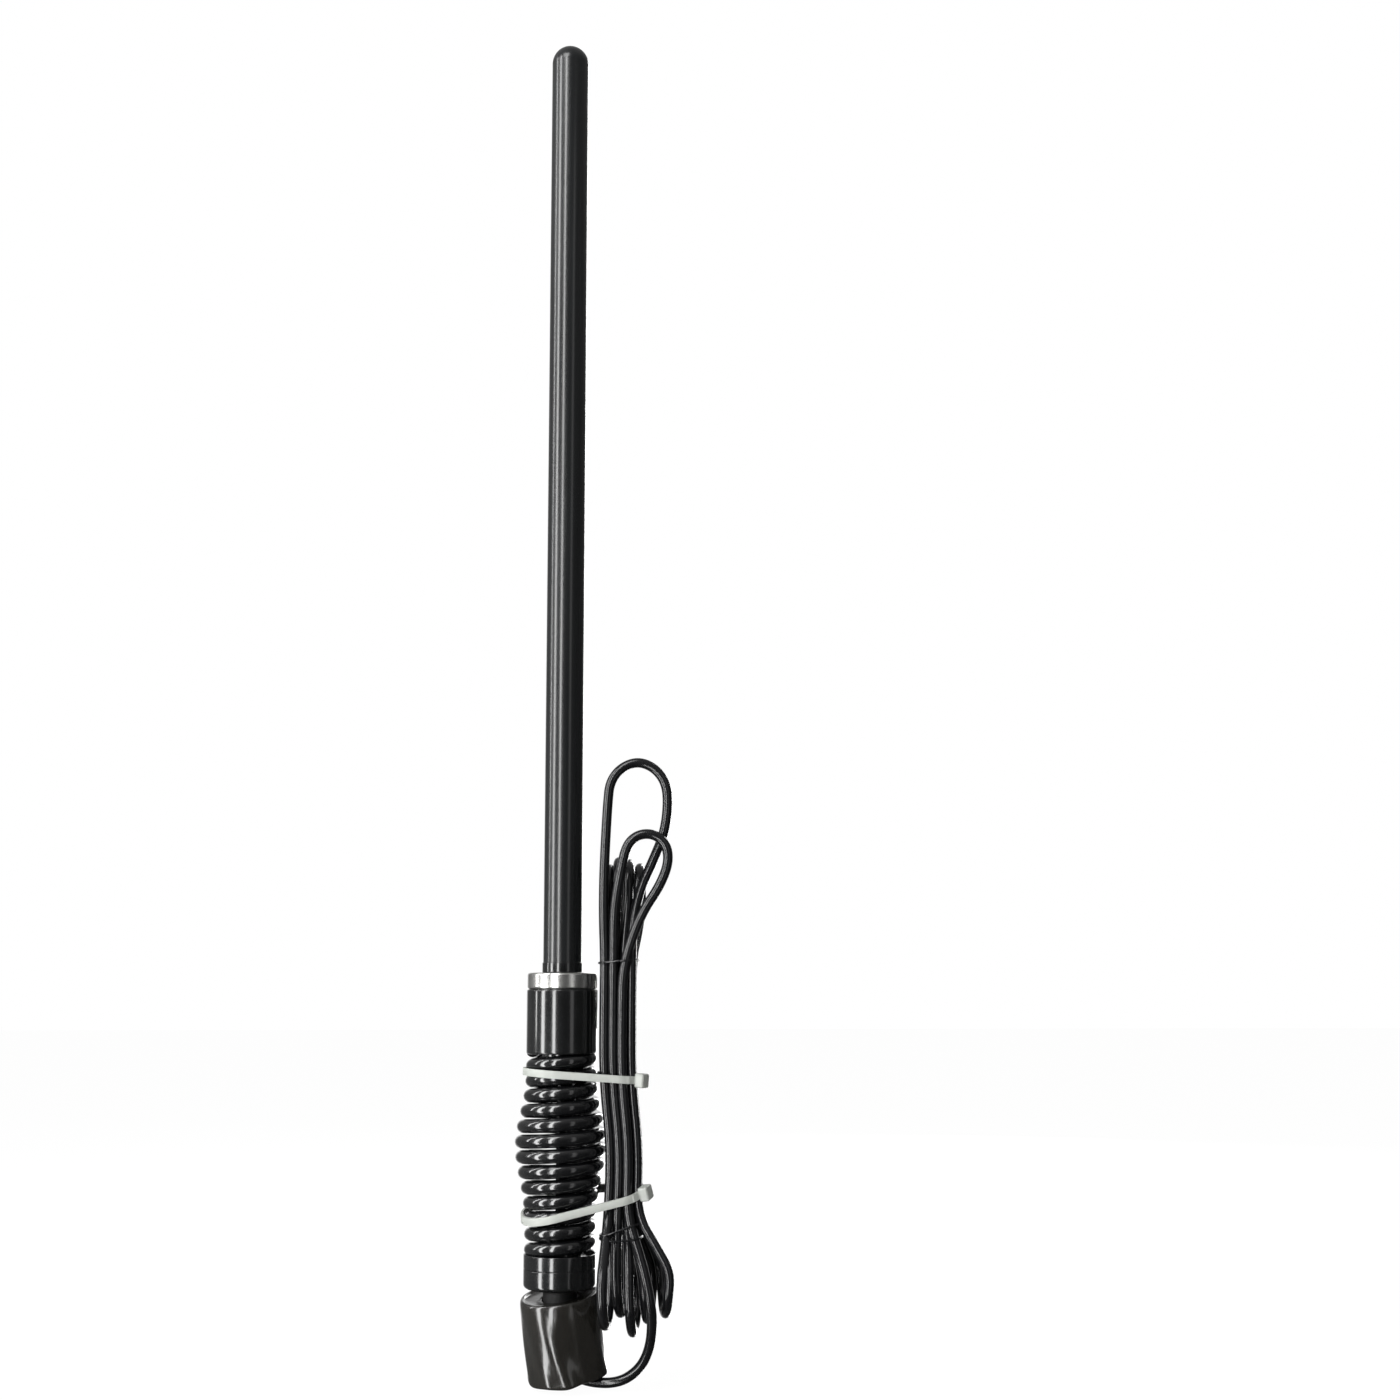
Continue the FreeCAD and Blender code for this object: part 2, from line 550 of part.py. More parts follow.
def tie_band(label, round_spring, centre, round_hank, place, slope, dip, head_at):
    """A strap round the spring and the hank: two arcs and two straights, with its head on the right."""
    body = doc.addObject("PartDesign::Body", f"{label}_band")
    sketch = body.newObject("Sketcher::SketchObject", "strap")
    sketch.AttachmentSupport = [(plane(body, "XY_Plane"), "")]
    sketch.MapMode = "FlatFace"
    far, toward = math.hypot(*centre), math.atan2(centre[1], centre[0])
    for extra in (0.0, size("tie_thickness")):
        a, b = round_spring + extra, round_hank + extra
        spread = math.acos((a - b) / far)
        first = len(sketch.Geometry)
        lines = []
        for sign in (1, -1):
            d = V(math.cos(toward + sign * spread), math.sin(toward + sign * spread), 0)
            lines.append((d * a, V(*centre, 0) + d * b))
        sketch.addGeometry(Part.LineSegment(*lines[0]), False)
        sketch.addGeometry(Part.LineSegment(*lines[1]), False)
        sketch.addGeometry(Part.ArcOfCircle(
            Part.Circle(V(0, 0, 0), V(0, 0, 1), a), toward + spread, toward - spread + 2 * math.pi), False)
        sketch.addGeometry(Part.ArcOfCircle(
            Part.Circle(V(*centre, 0), V(0, 0, 1), b), toward - spread, toward + spread), False)
        for one, at, two, end in ((0, 1, 2, 1), (1, 1, 2, 2), (1, 2, 3, 1), (0, 2, 3, 2)):
            sketch.addConstraint(Sketcher.Constraint("Tangent", first + one, at, first + two, end))
        for arc, radius in ((first + 2, a), (first + 3, b)):
            sketch.addConstraint(Sketcher.Constraint("Radius", arc, radius))
        sketch.addConstraint(Sketcher.Constraint("Coincident", first + 2, 3, -1, 1))
        for kind, number in (("DistanceX", centre[0]), ("DistanceY", centre[1])):
            sketch.addConstraint(Sketcher.Constraint(kind, -1, 1, first + 3, 3, number))
    pad = body.newObject("PartDesign::Pad", "strap_pad")
    pad.Profile = sketch
    pad.setExpression("Length", bound("tie_width"))
    pad.Midplane = True
    body.Tip = pad
    head = primitive(
        "Box", f"{label}_head", Length="tie_head_depth", Width="tie_head_width", Height="tie_head_height"
    )
    out = V(math.cos(head_at), math.sin(head_at), 0)
    seat = V(*centre, 0) + out * (round_hank + 0.5 * size("tie_thickness"))
    turn = FreeCAD.Rotation(V(0, 0, 1), math.degrees(head_at))
    head.Placement = FreeCAD.Placement(
        seat + turn.multVec(V(0, -size("tie_head_width") / 2, -size("tie_head_height") / 2)), turn
    )
    doc.recompute()
    rounded = doc.addObject("Part::Fillet", f"{label}_head_rounded")
    rounded.Base = head
    rounded.Edges = [(i, 1.0, 1.0) for i in range(1, 13)]
    made = fused(label, [body, rounded])
    lean = FreeCAD.Rotation(V(1, 0, 0), dip).multiply(FreeCAD.Rotation(V(0, 1, 0), -slope))
    made.Placement = FreeCAD.Placement(V(*place), lean)
    return made


slack = size("tie_slack")
spring_reach = size("spring_end_radius") + slack
upper_tie_z, lower_tie_z = (value(f"{SPRING} + spring_length * {share}") for share in (0.899, 0.237))
upper_tie_at, lower_tie_at = (0, 0, upper_tie_z), (0.35, 0.5, lower_tie_z)
tie_band("upper_cable_tie", spring_reach + 0.5, (28.3, -8.9), 10.3 + slack, upper_tie_at, -4.0, 0, -0.5)
tie_band("lower_cable_tie", spring_reach + 2.6, (30.7, -9.2), 11.6 + slack, lower_tie_at, 14.5, 11.5, -0.45)


def wire_tie(label, turns):
    """Thin wire rings round the hank: (height, centre, half width, half depth, tilt)."""
    rings = []
    radius = size("wire_tie_radius")
    for height, centre, wide, deep, tilt in turns:
        oval = Part.Ellipse(V(wide, 0, 0), V(0, deep, 0), V(0, 0, 0))
        path = Part.Wire(oval.toShape())
        ring = Part.Wire(Part.Circle(V(wide, 0, 0), V(0, 1, 0), radius).toShape())
        made = doc.addObject("Part::Feature", f"{label}_ring")
        made.Shape = path.makePipeShell([ring], True, True)
        made.Placement = FreeCAD.Placement(V(*centre, height), FreeCAD.Rotation(V(0, 1, 0), tilt))
        rings.append(made)
    if len(rings) == 1:
        rings[0].Label = label
        return rings[0]
    return fused(label, rings)


wire_tie("upper_twist_tie", [(154, (28.5, -8.7), 11.2, 10.8, 3)])
wire_tie("lower_twist_tie", [(25.4, (31.8, -8.6), 12.0, 11.2, -8), (28.4, (31.6, -8.6), 12.0, 11.2, -8)])

doc.recompute()

NODES = [
    "radome_tube", "radome_tip_cap", "upper_radiator", "phasing_coil", "coil_former", "lower_radiator",
    "element_spacers", "whip_ferrule", "lock_ring", "upper_collar", "barrel_spring", "feed_jumper",
    "feed_insulator", "feed_pin", "lower_collar", "base_hub", "mount_washer", "lock_washer", "mount_nut",
    "base_boot", "coax_gland", "coax_lead", "coax_hank", "coax_loop_large", "coax_loop_small", "coax_tail",
    "connector_sleeve", "connector_body", "connector_insulator", "connector_pin",
    "upper_cable_tie", "lower_cable_tie", "upper_twist_tie", "lower_twist_tie",
]
for item in doc.Objects:
    if "Invalid" in item.State or "Error" in item.State:
        raise RuntimeError(f"{item.Name} ({item.Label}) failed: {item.State}")
made = {}
for name in NODES:
    found = [o for o in doc.Objects if o.Label == name]
    shape = found[0].Shape
    if shape.isNull() or not shape.isValid() or not shape.Solids:
        raise RuntimeError(f"{name} has no valid solid")
    made[name] = shape
os.makedirs("parts", exist_ok=True)
for name, shape in made.items():
    shape.exportStep(f"parts/{name}.step")
    box = shape.BoundBox
    print(f"{name}: {len(shape.Solids)} solids, volume {shape.Volume:.0f}, "
          f"z {box.ZMin:.1f} to {box.ZMax:.1f}")
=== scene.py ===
import math
import bpy
from mathutils import Matrix, Vector


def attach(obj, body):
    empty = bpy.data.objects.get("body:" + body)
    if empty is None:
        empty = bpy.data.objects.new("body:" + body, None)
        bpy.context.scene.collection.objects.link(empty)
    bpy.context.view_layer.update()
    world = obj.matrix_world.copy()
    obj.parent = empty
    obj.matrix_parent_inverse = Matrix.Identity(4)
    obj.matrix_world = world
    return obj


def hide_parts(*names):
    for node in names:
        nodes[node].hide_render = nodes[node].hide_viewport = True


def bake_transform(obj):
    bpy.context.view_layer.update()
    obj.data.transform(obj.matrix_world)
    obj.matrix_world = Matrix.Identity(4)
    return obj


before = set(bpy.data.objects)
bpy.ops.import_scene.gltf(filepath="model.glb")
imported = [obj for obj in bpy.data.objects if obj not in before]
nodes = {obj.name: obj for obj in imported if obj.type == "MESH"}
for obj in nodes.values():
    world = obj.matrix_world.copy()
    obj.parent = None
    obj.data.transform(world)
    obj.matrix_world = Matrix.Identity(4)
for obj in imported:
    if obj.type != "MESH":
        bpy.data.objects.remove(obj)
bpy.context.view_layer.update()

# Base hub and collars: turned steel, the hub with the stud that goes through the bracket and a
# collar at each end of the spring. All are stove enamelled gloss black.
MM = 0.001
BASE, WHIP = "base", "whip"


def shade(hex_colour):
    """A colour written as sRGB hex, as the linear values that a shader takes."""
    parts = [int(hex_colour[i:i + 2], 16) / 255 for i in (1, 3, 5)]
    linear = [p / 12.92 if p <= 0.04045 else ((p + 0.055) / 1.055) ** 2.4 for p in parts]
    return (*linear, 1.0)


def add(material, kind, links=(), **settings):
    """Adds one node; settings name its properties or sockets, links are (output, input name)."""
    made = material.node_tree.nodes.new(kind)
    for name, value in settings.items():
        if hasattr(made, name):
            setattr(made, name, value)
        else:
            made.inputs[name.replace("_", " ")].default_value = value
    for output, socket in links:
        material.node_tree.links.new(output, made.inputs[socket])
    return made


def finish_named(name):
    """A new material with its shader and the Object coordinates that its patterns read."""
    material = bpy.data.materials.new(name)
    material.use_nodes = True
    shader = material.node_tree.nodes["Principled BSDF"]
    place = add(material, "ShaderNodeTexCoord").outputs["Object"]
    return material, shader, place


def join(material, shader, tone, gloss, relief=None):
    """Links a finish's colour, roughness and relief to its shader."""
    links = [(tone.outputs["Color"], "Base Color"), (gloss.outputs["Result"], "Roughness")]
    if relief is not None:
        links.append((relief.outputs["Normal"], "Normal"))
    for output, socket in links:
        material.node_tree.links.new(output, shader.inputs[socket])


def wear(piece_names, material):
    """Puts a finish on CAD nodes."""
    for name in piece_names:
        mesh = nodes[name].data
        mesh.materials.clear()
        mesh.materials.append(material)


# Stove enamel on turned steel: a hard glossy coat. The eye sees crisp upright streaks, a faint
# orange peel of about 2 mm and a duller film of handling marks.
enamel, shader, place = finish_named("black_stove_enamel")
shader.inputs["IOR"].default_value = 1.52
shader.inputs["Coat Weight"].default_value = 0.6
shader.inputs["Coat Roughness"].default_value = 0.05
film = add(enamel, "ShaderNodeTexNoise", [(place, "Vector")], Scale=90.0, Detail=5.0, Roughness=0.6)
tone = add(enamel, "ShaderNodeValToRGB", [(film.outputs["Fac"], "Fac")])
tone.color_ramp.elements[0].color = shade("#070808")
tone.color_ramp.elements[1].color = shade("#141516")
gloss = add(enamel, "ShaderNodeMapRange", [(film.outputs["Fac"], "Value")], To_Min=0.12, To_Max=0.26)
peel = add(enamel, "ShaderNodeTexNoise", [(place, "Vector")], Scale=500.0, Detail=2.0)
relief = add(enamel, "ShaderNodeBump", [(peel.outputs["Fac"], "Height")], Strength=0.06, Distance=0.0004)
join(enamel, shader, tone, gloss, relief)
wear(["base_hub", "lower_collar", "upper_collar", "whip_ferrule"], enamel)

# Mounting stud: turned in one with the hub, below its seat. It is left free of enamel and blackened,
# so it is dull.
SEAT_Z, STUD_REACH = -0.1 * MM, 9 * MM
oxide, shader, place = finish_named("blackened_thread")
shader.inputs["IOR"].default_value = 1.45
film = add(oxide, "ShaderNodeTexNoise", [(place, "Vector")], Scale=300.0, Detail=4.0)
tone = add(oxide, "ShaderNodeValToRGB", [(film.outputs["Fac"], "Fac")])
tone.color_ramp.elements[0].color = shade("#060606")
tone.color_ramp.elements[1].color = shade("#121212")
gloss = add(oxide, "ShaderNodeMapRange", [(film.outputs["Fac"], "Value")], To_Min=0.5, To_Max=0.7)
join(oxide, shader, tone, gloss)
hub = nodes["base_hub"].data
hub.materials.append(oxide)
for face in hub.polygons:
    if face.center.z < SEAT_Z and math.hypot(face.center.x, face.center.y) < STUD_REACH:
        face.material_index = 1

# Mounting nut, spring washer and flat washer: zinc plated steel on the stud, which clamp the
# bracket from below. The plating is pale grey with a faint mottle.
zinc, shader, place = finish_named("zinc_plated_steel")
shader.inputs["Metallic"].default_value = 1.0
mottle = add(zinc, "ShaderNodeTexVoronoi", [(place, "Vector")], Scale=700.0)
tone = add(zinc, "ShaderNodeValToRGB", [(mottle.outputs["Distance"], "Fac")])
tone.color_ramp.elements[0].color = shade("#8F9294")
tone.color_ramp.elements[1].color = shade("#B9BCBE")
gloss = add(zinc, "ShaderNodeMapRange", [(mottle.outputs["Distance"], "Value")], To_Min=0.28, To_Max=0.45)
join(zinc, shader, tone, gloss)
wear(["mount_washer", "lock_washer", "mount_nut"], zinc)

# Barrel spring: one close wound round wire of spring steel, swelled to the middle, with both ends
# ground flat on the collars. It is dipped in gloss black, thicker and wavier than the collars' coat.
FLEX_FROM, FLEX_TO = (0, 0, 0.016), (0, 0, 0.110)
WIRE = 6.7 * MM
PITCH = 7.2 * MM
END_RADIUS, SWELL = 17.4 * MM - WIRE / 2, 5.0 * MM
SWELL_HIGH, SWELL_SHARP = 1.125, 4
RUN_OUT = 0.25 * WIRE
SPRING_STEPS = 40


def fresh(kind, name):
    """Deselects everything and starts an object of a curve's or mesh's data."""
    bpy.ops.object.select_all(action="DESELECT")
    made = bpy.data.objects.new(name, kind)
    bpy.context.scene.collection.objects.link(made)
    made.select_set(True)
    bpy.context.view_layer.objects.active = made
    return made


def smooth(piece, angle=40):
    """Shades a piece smooth, except over edges sharper than the angle."""
    bpy.ops.object.select_all(action="DESELECT")
    piece.select_set(True)
    bpy.context.view_layer.objects.active = piece
    bpy.ops.object.shade_smooth_by_angle(angle=math.radians(angle))


def wound(name, points, wire, detail):
    """A round wire along a dense line of points, as a mesh."""
    line = bpy.data.curves.new(f"{name}_line", "CURVE")
    line.dimensions = "3D"
    line.bevel_depth = wire / 2
    line.bevel_resolution = detail
    line.use_fill_caps = True
    winding = line.splines.new("POLY")
    winding.points.add(len(points) - 1)
    for point, place_at in zip(winding.points, points):
        point.co = (*place_at, 1)
    made = fresh(line, name)
    bpy.ops.object.convert(target="MESH")
    return made


def coil_radius(z):
    """The middle of the spring's wire at a height: straight ends and a swelled middle."""
    share = min(max((z - FLEX_FROM[2]) / (FLEX_TO[2] - FLEX_FROM[2]), 0), 1)
    return END_RADIUS + SWELL * math.sin(math.pi * share ** SWELL_HIGH) ** SWELL_SHARP


def helix(start, end, pitch, radius_at, steps):
    """Points of a winding from one height to another."""
    count = round((end - start) / pitch * steps)
    heights = [start + (end - start) * i / count for i in range(count + 1)]
    turns = [2 * math.pi * (z - start) / pitch for z in heights]
    return [(radius_at(z) * math.cos(a), radius_at(z) * math.sin(a), z) for z, a in zip(heights, turns)]


low, high = FLEX_FROM[2], FLEX_TO[2]
spring_line = helix(low - RUN_OUT, high + RUN_OUT, PITCH, coil_radius, SPRING_STEPS)
spring = wound("barrel_spring_coil", spring_line, WIRE, 6)
bpy.ops.object.mode_set(mode="EDIT")
for height, inside, outside in ((low, True, False), (high, False, True)):
    bpy.ops.mesh.select_all(action="SELECT")
    bpy.ops.mesh.bisect(plane_co=(0, 0, height), plane_no=(0, 0, 1), use_fill=True,
                        clear_inner=inside, clear_outer=outside)
bpy.ops.mesh.select_all(action="SELECT")
bpy.ops.mesh.remove_doubles(threshold=1e-6)
bpy.ops.mesh.normals_make_consistent(inside=False)
bpy.ops.object.mode_set(mode="OBJECT")
smooth(spring)

# Dipped gloss enamel: a thick wet-looking coat whose surface waves a little every few millimetres,
# so each coil breaks the light into short streaks.
dipped, shader, place = finish_named("dipped_gloss_enamel")
shader.inputs["IOR"].default_value = 1.52
shader.inputs["Coat Weight"].default_value = 0.7
shader.inputs["Coat Roughness"].default_value = 0.04
film = add(dipped, "ShaderNodeTexNoise", [(place, "Vector")], Scale=160.0, Detail=4.0)
tone = add(dipped, "ShaderNodeValToRGB", [(film.outputs["Fac"], "Fac")])
tone.color_ramp.elements[0].color = shade("#060607")
tone.color_ramp.elements[1].color = shade("#121314")
gloss = add(dipped, "ShaderNodeMapRange", [(film.outputs["Fac"], "Value")], To_Min=0.10, To_Max=0.24)
waves = add(dipped, "ShaderNodeTexNoise", [(place, "Vector")], Scale=220.0, Detail=2.0)
relief = add(dipped, "ShaderNodeBump", [(waves.outputs["Fac"], "Height")], Strength=0.25, Distance=0.0008)
join(dipped, shader, tone, gloss, relief)
spring.data.materials.append(dipped)
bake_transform(spring)
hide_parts("barrel_spring")

# Thread on the stud: a fine ridge wound on the plain stud where it is bare, by the hub and on the
# free end below the nut.
THREAD_PITCH, THREAD_WIRE = 1.5 * MM, 0.7 * MM
THREAD_RADIUS, THREAD_STEPS = 7.95 * MM, 48
for name, bottom, top in (
    ("stud_thread_upper", -2.6 * MM, -0.7 * MM),
    ("stud_thread_end", -24.0 * MM, -17.2 * MM),
):
    ridge = helix(bottom, top, THREAD_PITCH, lambda z: THREAD_RADIUS, THREAD_STEPS)
    thread = wound(name, ridge, THREAD_WIRE, 2)
    smooth(thread, 60)
    thread.data.materials.append(oxide)
    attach(thread, BASE)

# Feed through the spring: the lead's own cable runs up the middle of the coils to the bush and
# contact pin in the upper collar, and flexes with the spring.
FEED_BOTTOM, FEED_STEP, FEED_CUTS = -0.018, 0.0055, 23


def copied(node, name):
    """A copy of a CAD node's mesh with its loose triangles merged, ready to bend or bevel."""
    made = fresh(nodes[node].data.copy(), name)
    made.data.materials.clear()
    bpy.ops.object.mode_set(mode="EDIT")
    bpy.ops.mesh.select_all(action="SELECT")
    bpy.ops.mesh.remove_doubles(threshold=2e-6)
    bpy.ops.object.mode_set(mode="OBJECT")
    return made


# Extruded PVC jacket: black, satin, with faint draw lines along it and a slight change of tone.
jacket, shader, place = finish_named("pvc_cable_jacket")
shader.inputs["IOR"].default_value = 1.53
film = add(jacket, "ShaderNodeTexNoise", [(place, "Vector")], Scale=120.0, Detail=6.0, Roughness=0.65)
tone = add(jacket, "ShaderNodeValToRGB", [(film.outputs["Fac"], "Fac")])
tone.color_ramp.elements[0].color = shade("#08080A")
tone.color_ramp.elements[1].color = shade("#131416")
gloss = add(jacket, "ShaderNodeMapRange", [(film.outputs["Fac"], "Value")], To_Min=0.14, To_Max=0.26)
grain = add(jacket, "ShaderNodeTexNoise", [(place, "Vector")], Scale=1400.0, Detail=2.0)
relief = add(jacket, "ShaderNodeBump", [(grain.outputs["Fac"], "Height")], Strength=0.12, Distance=0.0003)
join(jacket, shader, tone, gloss, relief)

jumper = copied("feed_jumper", "feed_cable")
bpy.ops.object.mode_set(mode="EDIT")
for cut in range(1, FEED_CUTS + 1):
    bpy.ops.mesh.select_all(action="SELECT")
    bpy.ops.mesh.bisect(plane_co=(0, 0, FEED_BOTTOM + FEED_STEP * cut), plane_no=(0, 0, 1))
bpy.ops.object.mode_set(mode="OBJECT")
smooth(jumper)
jumper.data.materials.append(jacket)
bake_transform(jumper)
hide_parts("feed_jumper")

# Lock ring: a bright chromed brass ring that locks the whip's ferrule on the upper collar. Chrome is
# near mirror smooth, over the fine rings that the lathe left in the brass.
chrome, shader, place = finish_named("chromed_brass")
shader.inputs["Metallic"].default_value = 1.0
turning = add(chrome, "ShaderNodeTexWave", [(place, "Vector")], wave_type="BANDS", bands_direction="Z",
              Scale=420.0, Distortion=1.0, Detail=2.0)
haze = add(chrome, "ShaderNodeTexNoise", [(place, "Vector")], Scale=150.0, Detail=4.0)
tone = add(chrome, "ShaderNodeValToRGB", [(haze.outputs["Fac"], "Fac")])
tone.color_ramp.elements[0].color = shade("#C9C8C4")
tone.color_ramp.elements[1].color = shade("#E4E4E2")
gloss = add(chrome, "ShaderNodeMapRange", [(haze.outputs["Fac"], "Value")], To_Min=0.18, To_Max=0.30)
relief = add(chrome, "ShaderNodeBump", [(turning.outputs["Fac"], "Height")], Strength=0.08, Distance=0.0003)
join(chrome, shader, tone, gloss, relief)
wear(["lock_ring"], chrome)

# Radome: a straight tube of glass reinforced plastic with a domed cap glued in its top. It has a
# gloss black gel coat, with a faint lengthwise pull from the drawing and a soft sheen.
gel, shader, place = finish_named("gel_coated_fibreglass")
shader.inputs["IOR"].default_value = 1.5
shader.inputs["Coat Weight"].default_value = 0.35
shader.inputs["Coat Roughness"].default_value = 0.12
stretch = add(gel, "ShaderNodeMapping", [(place, "Vector")], Scale=(420.0, 420.0, 9.0))
pull = add(gel, "ShaderNodeTexNoise", [(stretch.outputs["Vector"], "Vector")], Scale=1.0, Detail=4.0)
tone = add(gel, "ShaderNodeValToRGB", [(pull.outputs["Fac"], "Fac")])
tone.color_ramp.elements[0].color = shade("#0C0D0E")
tone.color_ramp.elements[1].color = shade("#1B1D1E")
gloss = add(gel, "ShaderNodeMapRange", [(pull.outputs["Fac"], "Value")], To_Min=0.20, To_Max=0.32)
relief = add(gel, "ShaderNodeBump", [(pull.outputs["Fac"], "Height")], Strength=0.05, Distance=0.0003)
join(gel, shader, tone, gloss, relief)
wear(["radome_tube", "radome_tip_cap"], gel)

# Inside the radome and the feed: drawn brass rods, coil and pins, and the pale bushes that hold
# them in the middle.
brass, shader, place = finish_named("drawn_brass")
shader.inputs["Metallic"].default_value = 1.0
tarnish = add(brass, "ShaderNodeTexNoise", [(place, "Vector")], Scale=200.0, Detail=5.0)
tone = add(brass, "ShaderNodeValToRGB", [(tarnish.outputs["Fac"], "Fac")])
tone.color_ramp.elements[0].color = shade("#A98745")
tone.color_ramp.elements[1].color = shade("#D9BB78")
gloss = add(brass, "ShaderNodeMapRange", [(tarnish.outputs["Fac"], "Value")], To_Min=0.22, To_Max=0.4)
join(brass, shader, tone, gloss)
wear(["upper_radiator", "lower_radiator", "phasing_coil", "feed_pin"], brass)

acetal, shader, place = finish_named("moulded_acetal")
cloud = add(acetal, "ShaderNodeTexNoise", [(place, "Vector")], Scale=120.0, Detail=3.0)
tone = add(acetal, "ShaderNodeValToRGB", [(cloud.outputs["Fac"], "Fac")])
tone.color_ramp.elements[0].color = shade("#DEDBD2")
tone.color_ramp.elements[1].color = shade("#F0EEE8")
acetal.node_tree.links.new(tone.outputs["Color"], shader.inputs["Base Color"])
shader.inputs["Roughness"].default_value = 0.45
wear(["coil_former", "element_spacers", "feed_insulator"], acetal)

# Base boot: a cup of soft moulded PVC pushed up the stud over the nut, so it hangs a little askew.
# Its wall is thin and pulls into slow waves, its top shoulder is round and its rim thickened.
BOOT_STEPS = 128
BOOT_TILT, BOOT_HEADING = math.radians(10.3), math.radians(51)
BOOT_GRIP, BOOT_HANG = -1.1 * MM, -4.6 * MM
BOOT_RADIUS = 19 * MM
BOOT_HELD, BOOT_LOOSE = 2, 20
BOOT_WAVES = ((0.45, 5, 0.11, 0.8), (0.24, 11, 0.2, 0), (0.45, 2, 0, 0.6))
BOOT_SAGS = ((0.35, 3, 1.1), (0.25, 7, 0))
BOOT_WALL = [
    (8.55, -2.2), (8.55, -1.0), (9.0, -0.75), (12.0, -0.8), (15.0, -0.7), (16.4, -0.2), (17.2, 0.55),
    (17.9, 0.75), (18.5, 0.4), (18.95, -0.6), (19.15, -2.4), (19.2, -6.0), (19.1, -12.5), (18.9, -21.0),
    (18.75, -29.0), (18.7, -34.0), (18.9, -36.2), (19.0, -37.6), (18.7, -38.5), (18.0, -38.7),
    (17.2, -38.5), (16.8, -37.6), (16.8, -33.0), (17.0, -21.0), (17.3, -6.0), (17.0, -3.6), (15.8, -2.6),
    (13.0, -2.4),
]


def turned(name, profile, steps, closed=False):
    """Extrudes a profile of (radius, height) in mm from one vertex and spins it round the Z axis."""
    bpy.ops.object.select_all(action="DESELECT")
    bpy.ops.mesh.primitive_plane_add(size=MM)
    made = bpy.context.object
    made.name = made.data.name = name
    bpy.ops.object.mode_set(mode="EDIT")
    bpy.ops.mesh.select_all(action="SELECT")
    bpy.ops.mesh.merge(type="CENTER")
    at = Vector((0, 0, 0))
    for i, (radius, height) in enumerate(profile + profile[:1] * closed):
        to = Vector((radius, 0, height)) * MM
        if i:
            bpy.ops.mesh.extrude_region_move(TRANSFORM_OT_translate={"value": to - at})
        else:
            bpy.ops.transform.translate(value=to)
        at = to
    bpy.ops.mesh.select_all(action="SELECT")
    bpy.ops.mesh.spin(steps=steps, angle=2 * math.pi, center=(0, 0, 0), axis=(0, 0, 1))
    bpy.ops.mesh.select_all(action="SELECT")
    bpy.ops.mesh.remove_doubles(threshold=1e-6)
    bpy.ops.mesh.normals_make_consistent(inside=False)
    bpy.ops.object.mode_set(mode="OBJECT")
    return made


boot = turned("base_boot_skin", BOOT_WALL, BOOT_STEPS, closed=True)
for vertex in boot.data.vertices:
    x, y, z = vertex.co
    round_at = math.atan2(y, x)
    free = min(max((-z / MM - BOOT_HELD) / BOOT_LOOSE, 0), 1)
    out = math.hypot(x, y) / BOOT_RADIUS
    wave = sum(size * math.sin(lobes * round_at + twist * z / MM + start)
               for size, lobes, twist, start in BOOT_WAVES)
    reach = 1 + free * out * wave * MM / BOOT_RADIUS
    sag = free * sum(size * math.sin(lobes * round_at + start) for size, lobes, start in BOOT_SAGS)
    vertex.co = (x * reach, y * reach, z - sag * MM)
round_off = boot.modifiers.new("round_off", "SUBSURF")
round_off.levels = round_off.render_levels = 1
bpy.ops.object.modifier_apply(modifier="round_off")
lean = Matrix.Rotation(BOOT_TILT, 4, Vector((math.sin(BOOT_HEADING), -math.cos(BOOT_HEADING), 0)))
boot.data.transform(Matrix.Translation((0, 0, BOOT_HANG)) @ lean @ Matrix.Translation((0, 0, -BOOT_GRIP)))
smooth(boot, 60)

# Dip moulded soft PVC: glossy, a little brown where the light gets into it, with flow lines down
# the wall and the odd dull patch.
soft_pvc, shader, place = finish_named("dip_moulded_pvc")
shader.inputs["IOR"].default_value = 1.53
shader.inputs["Coat Weight"].default_value = 0.5
shader.inputs["Coat Roughness"].default_value = 0.06
stretch = add(soft_pvc, "ShaderNodeMapping", [(place, "Vector")], Scale=(110.0, 110.0, 30.0))
flow = add(soft_pvc, "ShaderNodeTexNoise", [(stretch.outputs["Vector"], "Vector")], Scale=1.0, Detail=3.0,
           Distortion=0.6)
tone = add(soft_pvc, "ShaderNodeValToRGB", [(flow.outputs["Fac"], "Fac")])
tone.color_ramp.elements[0].color = shade("#131311")
tone.color_ramp.elements[1].color = shade("#282622")
gloss = add(soft_pvc, "ShaderNodeMapRange", [(flow.outputs["Fac"], "Value")], To_Min=0.14, To_Max=0.30)
relief = add(soft_pvc, "ShaderNodeBump", [(flow.outputs["Fac"], "Height")], Strength=0.22, Distance=0.0015)
join(soft_pvc, shader, tone, gloss, relief)
boot.data.materials.append(soft_pvc)
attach(boot, BASE)
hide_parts("base_boot")
wear(["coax_gland"], soft_pvc)

